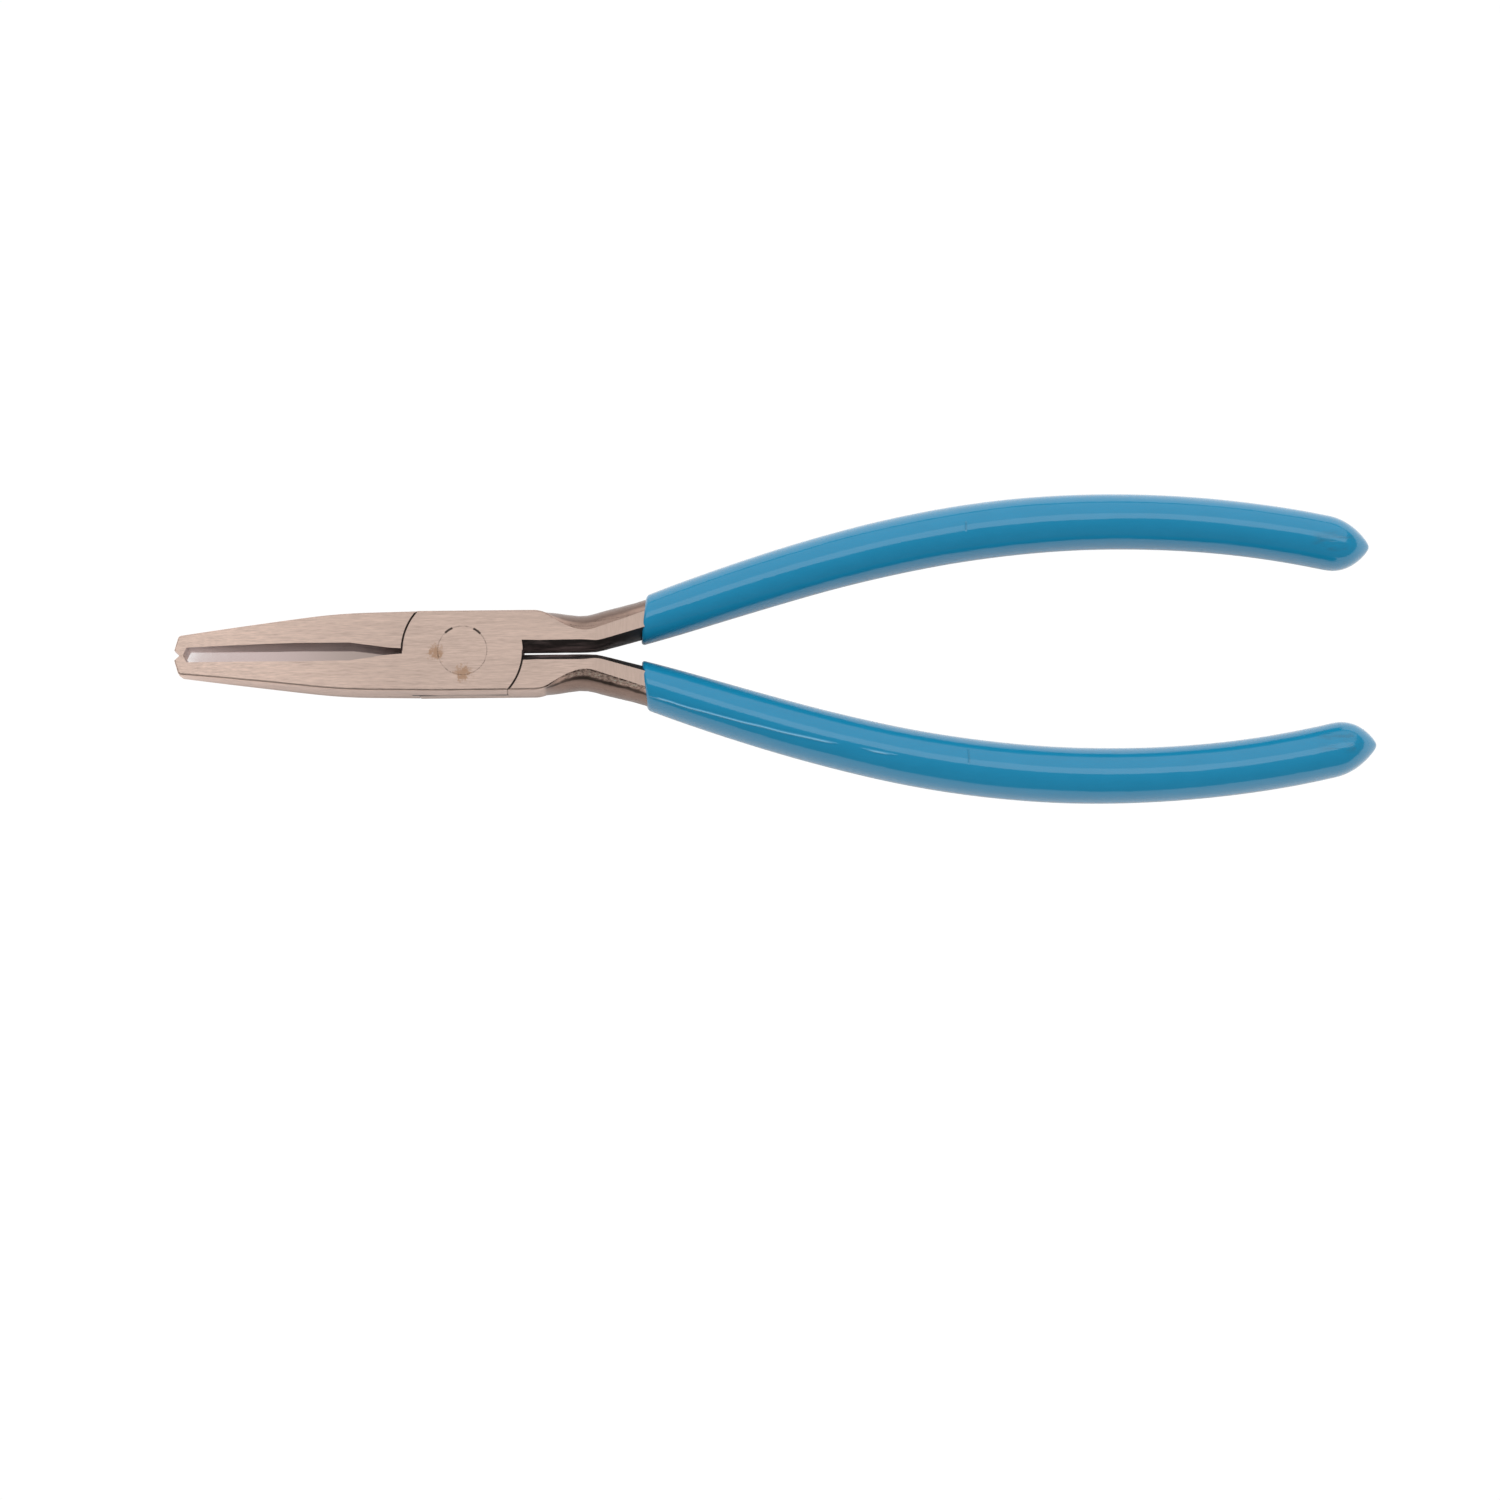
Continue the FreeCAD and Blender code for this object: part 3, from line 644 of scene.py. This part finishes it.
    def add_lines(self, color):
        """The lap's edge on the cheeks, and the parting line of the lap on the flanks."""
        quarter = self.all_of(self.x, self.y, self.up_facing)
        lap_line = self.all_of(
            self.band(self.from_axis, *LAP_LINE),
            self.ramp(quarter, 0.0, -0.5),
            self.flat,
        )
        color = self.stain(color, lap_line, LAP_LINE_COVER, GRIME)
        parting_line = self.all_of(
            self.not_flat,
            self.band(self.lift, *PARTING_LINE_LIFT),
            self.band(self.x, *PARTING_LINE_SPAN),
            self.spread(self.ramp(self.math("ABSOLUTE", self.x), 3.0, 7.0), 0.35, 1.0),
        )
        return self.paint(parting_line, color, GRIME)

    def add_rust(self, color):
        """Ragged blotches of rust beside the rivet."""
        ragged = self.noise((0.8, 0.8, 0.8), detail=5.0, rough=0.75)
        ragged = self.spread(ragged, -RUST_RAGGED, RUST_RAGGED)
        for x, y, radius in RUST_SPOTS:
            away = self.math("DIVIDE", self.vector("DISTANCE", self.on_plan, (x, y, 0.0)), radius)
            blotch = self.ramp(self.math("ADD", away, ragged), 1.0, 0.35)
            blotch = self.all_of(blotch, self.upper_side)
            color = self.stain(color, blotch, RUST_COVER, RUST)
        return color

    def add_rim(self, color):
        """Grime round the rivet: a thin broken line, thicker in two short stretches."""
        specks = self.noise((0.7, 0.7, 0.7), detail=3.0, rough=0.7, shift=(6.0, 2.0, 0.0))
        rim = self.all_of(
            self.band(self.from_axis, *RIM_LINE),
            self.upper_side,
            self.ramp(specks, 0.42, 0.66),
        )
        color = self.stain(color, rim, RIM_COVER, GRIME)
        thick_rim = self.all_of(self.band(self.from_axis, *RIM_MARK_LINE), self.upper_side)
        for x, y in RIM_MARKS:
            away = self.vector("DISTANCE", self.place, (x, y, HEAD_HIGH.z / MM))
            mark = self.all_of(thick_rim, self.ramp(away, *RIM_MARK_REACH))
            color = self.stain(color, mark, RIM_MARK_COVER, GRIME)
        return color

    def jaw_wall_mask(self):
        """The walls of the long relief between the jaws."""
        return self.all_of(
            self.not_flat,
            self.ramp(self.x, *JAW_WALL_ZONE),
            self.ramp(self.outwards, *INWARD_FACING),
        )

    def scale_mask(self):
        """The inner faces of the shanks, and the end of each lap plate that looks into the slot."""
        inner_face = self.all_of(
            self.not_flat,
            self.ramp(self.x, *INNER_FACE_ZONE),
            self.ramp(self.outwards, *INWARD_FACING),
        )
        lap_end = self.all_of(
            self.not_flat,
            self.ramp(self.x, *LAP_END_FRONT),
            self.ramp(self.x, *LAP_END_BACK),
            self.ramp(self.math("ABSOLUTE", self.y), *LAP_END_HALF),
        )
        return self.any_of(inner_face, lap_end)

    def scale_color(self):
        """Black scale, browned in a ragged patch beside the head and flaked in specks."""
        stain = self.noise((6.0, 1.2, 1.2), detail=4.0, rough=0.7, shift=(5.0, 3.0, 7.0))
        stained_lift = self.math("ADD", self.lift, self.spread(stain, -4.0, 4.0))
        stained_x = self.math("ADD", self.x, self.spread(stain, -8.0, 8.0))
        browned = self.all_of(
            self.ramp(stained_lift, *BROWNED_LIFT),
            self.ramp(stained_x, *BROWNED_ZONE),
        )
        flaked = self.ramp(self.noise((0.7, 0.4, 0.4), detail=4.0, rough=0.7), 0.64, 0.8)
        return self.paint(self.any_of(browned, flaked), SCALE_BLACK, SCALE_BROWN)

    def across_tool(self):
        """The tool's own Y axis, which stays across the streaks when a lever turns."""
        turned = self.node(
            "ShaderNodeVectorTransform",
            vector_type="VECTOR",
            convert_from="OBJECT",
            convert_to="WORLD",
        )
        self.feed(turned.inputs[0], (0.0, 1.0, 0.0))
        return turned.outputs[0]

    def build(self):
        """Put the finishes together, from the ground flats up to the scale."""
        scallop = self.scallop_mask()
        scale = self.scale_mask()
        color = self.paint(scallop, self.ground_color(), self.scallop_color())
        color = self.add_lines(color)
        color = self.add_rust(color)
        color = self.add_rim(color)
        color = self.paint(self.jaw_wall_mask(), color, self.tint(JAW_WALL, self.side_tone))
        color = self.paint(scale, color, self.scale_color())
        roughness = self.spread(self.streaks, *GROUND_ROUGHNESS)
        roughness = self.mix(scallop, roughness, self.spread(self.rough_streaks, *SCALLOP_ROUGHNESS))
        roughness = self.mix(scale, roughness, SCALE_ROUGHNESS)
        height = self.mix(scallop, self.streaks, self.math("MULTIPLY", self.speckle, SCALLOP_BUMP))
        height = self.mix(scale, height, self.math("MULTIPLY", self.speckle, SCALE_BUMP))
        return self.finish(
            Base_Color=color,
            Metallic=self.math("SUBTRACT", 1.0, scale),
            Roughness=roughness,
            Anisotropic=self.math("MULTIPLY", self.flat, GROUND_ANISOTROPY),
            Tangent=self.across_tool(),
            Normal=self.bump(height, STEEL_BUMP),
        )


def scuffed_ends(graph):
    """Scuffs on the top of each grip, near its end."""
    scuffs = graph.noise((4.5, 1.1, 1.5), detail=3.0, rough=0.6, shift=(1.0, 6.0, 2.0))
    return graph.all_of(
        graph.ramp(scuffs, 0.4, 0.68),
        graph.band(graph.x, *SCUFF_SPAN),
        graph.band(graph.math("ABSOLUTE", graph.y), *SCUFF_SIDE),
    )


def grip_nicks(graph):
    """A thin cut across the top of each grip."""
    nicks = []
    for x, y, half in GRIP_NICKS:
        nicks.append(
            graph.all_of(
                graph.band(graph.x, x, 0.05, 0.18),
                graph.band(graph.y, y, half, 0.5),
                graph.ramp(graph.z, *NICK_TOP),
            )
        )
    return graph.any_of(*nicks)


def vinyl(name):
    """Glossy dipped vinyl: faint orange peel and smears, dried runs with a pale painted highlight
    along them, scuffed ends and nicks.
    """
    graph = Graph(name)
    peel = graph.noise((0.9, 0.9, 0.9), detail=2.0, rough=0.5)
    waves = graph.noise((9.0, 3.0, 3.0), detail=2.0, rough=0.5, shift=(3.0, 1.0, 2.0))
    smears = graph.noise((5.0, 2.0, 2.0), detail=4.0, rough=0.65, shift=(9.0, 2.0, 5.0))
    run = graph.node("ShaderNodeAttribute", attribute_name=RUN_HIGHLIGHT_MARK).outputs["Fac"]
    scuffed = scuffed_ends(graph)
    nicked = grip_nicks(graph)
    color = graph.tint(VINYL, graph.spread(smears, *SMEAR_TONE))
    color = graph.stain(color, scuffed, SCUFF_COVER, VINYL_SMEAR)
    # Painted highlight: pale colour along the dried runs, standing in for the light their ridge
    # catches.
    color = graph.stain(color, graph.ramp(run, 0.2, 1.0), RUN_HIGHLIGHT_COVER, VINYL_RUN_HIGHLIGHT)
    color = graph.stain(color, nicked, NICK_COVER, VINYL_SMEAR)
    dulled = graph.math("MULTIPLY", scuffed, SCUFF_ROUGHNESS)
    roughness = graph.math("ADD", graph.spread(smears, *VINYL_ROUGHNESS), dulled)
    height = waves
    for pattern, depth in ((peel, PEEL_BUMP), (scuffed, SCUFF_BUMP), (nicked, NICK_BUMP)):
        height = graph.math("ADD", height, graph.math("MULTIPLY", pattern, depth))
    return graph.finish(Base_Color=color, Roughness=roughness, Normal=graph.bump(height, VINYL_BUMP))


def table_white(name):
    """White sweep. The camera sees it evenly lit, except where the closed jaws shut it in."""
    graph = Graph(name)
    fibre = graph.spread(graph.noise((1.2, 1.2, 1.2), detail=3.0, rough=0.6), *FIBRE_TONE)
    openness = graph.node("ShaderNodeAmbientOcclusion", samples=8)
    openness.inputs["Distance"].default_value = SHADE_REACH * MM
    between_jaws = graph.all_of(
        graph.ramp(openness.outputs["AO"], *SHADE_OPENNESS),
        graph.band(graph.x, *SLOT_SPAN),
        graph.band(graph.y, *SLOT_SIDE),
    )
    shade = graph.paint(graph.ramp(graph.x, *SLOT_DEEP_ZONE), TABLE_SHADE, TABLE_DEEP_SHADE)
    sight = graph.node("ShaderNodeLightPath").outputs["Is Camera Ray"]
    return graph.finish(
        Base_Color=graph.paint(sight, graph.tint(TABLE, fibre), BLACK),
        Roughness=0.7,
        Specular_IOR_Level=0.0,
        Emission_Color=graph.paint(between_jaws, WHITE, shade),
        Emission_Strength=graph.mix(sight, 0.0, TABLE_BRIGHTNESS),
    )


def cover(obj, material):
    """Give an object this one material."""
    obj.data.materials.clear()
    obj.data.materials.append(material)


# ---------------------------------------------------------------- stage

FLOOR_SIZE = 6.0
TABLE_GAP = 0.05

# Radiance of the lights. The fill is the world's, as diffuse surfaces see it.
BOX_LIGHT = 0.9
CORE_LIGHT = 0.95
CEILING_LIGHT = 0.2
FILL_LIGHT = 1.1
LIGHT_X = 0.05


def make_floor():
    """A white table just under the tool's lowest point."""
    z = CAD_BOX[0].z - TABLE_GAP * MM
    size = FLOOR_SIZE / 2
    mesh = bpy.data.meshes.new("table")
    corners = [(-size, -size, z), (size, -size, z), (size, size, z), (-size, size, z)]
    mesh.from_pydata(corners, [], [(0, 1, 2, 3)])
    floor = bpy.data.objects.new("table", mesh)
    bpy.context.scene.collection.objects.link(floor)
    cover(floor, table_white("table_white"))


def soft_box(name, near, far, reach, width, radiance):
    """A rectangular light parallel to X. near and far are the angles off the zenith, towards
    +Y, between which it stands as seen from the tool."""
    ends = []
    for angle in (near, far):
        turn = math.radians(angle)
        ends.append(Vector((LIGHT_X, math.sin(turn) * reach, math.cos(turn) * reach)))
    light = bpy.data.lights.new(name, "AREA")
    light.shape = "RECTANGLE"
    light.size = width
    light.size_y = (ends[1] - ends[0]).length
    light.energy = math.pi * light.size * light.size_y * radiance
    obj = bpy.data.objects.new(name, light)
    obj.location = (ends[0] + ends[1]) / 2
    across = (ends[1] - ends[0]).normalized()
    along = Vector((1, 0, 0))
    back = along.cross(across)
    if back.dot(obj.location) < 0:
        along = -along
        back = -back
    obj.rotation_mode = "QUATERNION"
    obj.rotation_quaternion = Matrix((along, across, back)).transposed().to_quaternion()
    bpy.context.scene.collection.objects.link(obj)


def make_world():
    """Even fill light, which dims where it would show in glossy surfaces."""
    world = bpy.data.worlds.new("studio")
    world.use_nodes = True
    tree = world.node_tree
    strength = tree.nodes.new("ShaderNodeMapRange")
    strength.inputs["To Min"].default_value = CEILING_LIGHT
    strength.inputs["To Max"].default_value = FILL_LIGHT
    rays = tree.nodes.new("ShaderNodeLightPath")
    tree.links.new(rays.outputs["Is Diffuse Ray"], strength.inputs["Value"])
    tree.links.new(strength.outputs["Result"], tree.nodes["Background"].inputs["Strength"])
    tree.nodes["Background"].inputs["Color"].default_value = (1, 1, 1, 1)
    bpy.context.scene.world = world


CAMERA_PLACE = Vector((0.03125, -0.08436, 0.550))
CAMERA_TARGET = Vector((0.04815, -0.01676, MID_HEIGHT))
CAMERA_ROLL = math.radians(0.84)
LENS = 78.1
SENSOR_WIDTH = 36.0
CLIP_START = 0.01


def make_camera():
    """The camera stands nearly above the tool, a little to the side of its lower handle."""
    camera = bpy.data.cameras.new("camera")
    camera.sensor_width = SENSOR_WIDTH
    camera.lens = LENS
    camera.clip_start = CLIP_START
    obj = bpy.data.objects.new("camera", camera)
    obj.location = CAMERA_PLACE
    view = (CAMERA_TARGET - CAMERA_PLACE).normalized()
    right = view.cross(Vector((0, 1, 0))).normalized()
    up = right.cross(view)
    turned_right = right * math.cos(CAMERA_ROLL) - up * math.sin(CAMERA_ROLL)
    turned_up = up * math.cos(CAMERA_ROLL) + right * math.sin(CAMERA_ROLL)
    obj.rotation_mode = "QUATERNION"
    obj.rotation_quaternion = Matrix((turned_right, turned_up, -view)).transposed().to_quaternion()
    bpy.context.scene.collection.objects.link(obj)
    bpy.context.scene.camera = obj


# ---------------------------------------------------------------- scene

forged = ForgedSteel("forged_steel").build()
cover(NODES["lower_jaw_lever"], forged)
cover(NODES["upper_jaw_lever"], forged)
cover(NODES["pivot_rivet"], ForgedSteel("rivet_steel").build())

blue = vinyl("dipped_vinyl")
upper_grip = make_grip(
    "upper_grip_dip", "upper_handle_grip", "lower_jaw_lever", "lower_jaw_body", UPPER_TIP_TURN, ()
)
lower_grip = make_grip(
    "lower_grip_dip", "lower_handle_grip", "upper_jaw_lever", "upper_jaw_body", LOWER_TIP_TURN, RUNS
)
for grip in (upper_grip, lower_grip, NODES["upper_handle_grip"], NODES["lower_handle_grip"]):
    cover(grip, blue)

make_world()
make_floor()
soft_box("key_box", near=-6, far=84, reach=1.3, width=3.0, radiance=BOX_LIGHT)
soft_box("key_core", near=-6, far=22, reach=1.0, width=3.0, radiance=CORE_LIGHT)
make_camera()
bpy.context.scene.view_settings.view_transform = "Standard"
